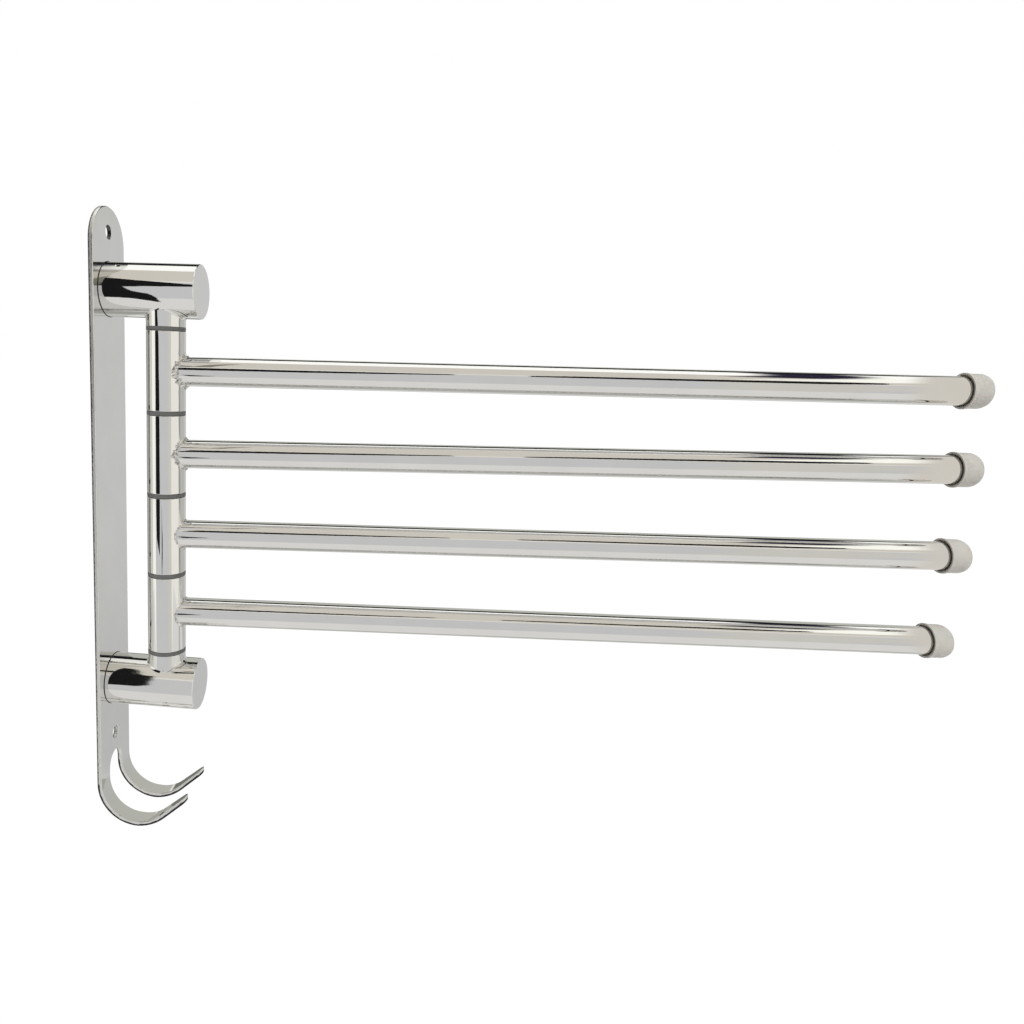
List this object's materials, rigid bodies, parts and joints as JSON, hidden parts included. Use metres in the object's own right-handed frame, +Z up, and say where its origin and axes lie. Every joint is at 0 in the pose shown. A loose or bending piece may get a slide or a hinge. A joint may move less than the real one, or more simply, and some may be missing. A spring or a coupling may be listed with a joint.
{
  "type": "swing arm towel bar",
  "caption": "Wall-mounted towel rack with separately swinging tube arms on a vertical column, and a back plate bent into a double hook.",
  "frame": {"origin": "on the wall, midway between the two wall screw holes", "axes": "+X out of the wall, the way the arms point at rest; +Y along the wall; +Z up"},
  "size_m": [0.3612, 0.047, 0.2622],
  "materials": {
    "plate_steel": "mirror-polished stainless steel sheet",
    "tube_steel": "mirror-polished stainless steel tube",
    "inner_steel": "plain turned steel",
    "spacer_plastic": "dark grey nylon",
    "cap_plastic": "matte warm grey moulded plastic"
  },
  "bodies": {
    "bracket": {"back_plate": "plate_steel", "upper_post": "tube_steel", "lower_post": "tube_steel", "upper_post_screw": "inner_steel", "lower_post_screw": "inner_steel", "upper_collar": "tube_steel", "lower_collar": "tube_steel", "spindle": "inner_steel", "spacer_1": "spacer_plastic", "spacer_2": "spacer_plastic", "spacer_3": "spacer_plastic", "spacer_4": "spacer_plastic", "spacer_5": "spacer_plastic"},
    "swing_arm_1": {"sleeve_1": "tube_steel", "arm_1": "tube_steel", "cap_1": "cap_plastic"},
    "swing_arm_2": {"sleeve_2": "tube_steel", "arm_2": "tube_steel", "cap_2": "cap_plastic"},
    "swing_arm_3": {"sleeve_3": "tube_steel", "arm_3": "tube_steel", "cap_3": "cap_plastic"},
    "swing_arm_4": {"sleeve_4": "tube_steel", "arm_4": "tube_steel", "cap_4": "cap_plastic"}
  },
  "joints": [
    {"name": "arm_1_swing", "type": "hinge", "parent": "bracket", "child": "swing_arm_1", "pos_m": [0.026, 0, 0.05335], "axis": [0, 0, 1], "range_deg": [-94.3, 85.7]},
    {"name": "arm_2_swing", "type": "hinge", "parent": "bracket", "child": "swing_arm_2", "pos_m": [0.026, 0, 0.01885], "axis": [0, 0, 1], "range_deg": [-94.1, 85.9]},
    {"name": "arm_3_swing", "type": "hinge", "parent": "bracket", "child": "swing_arm_3", "pos_m": [0.026, 0, -0.01565], "axis": [0, 0, 1], "range_deg": [-93.9, 86.1]},
    {"name": "arm_4_swing", "type": "hinge", "parent": "bracket", "child": "swing_arm_4", "pos_m": [0.026, 0, -0.05015], "axis": [0, 0, 1], "range_deg": [-94.3, 85.7]}
  ]
}
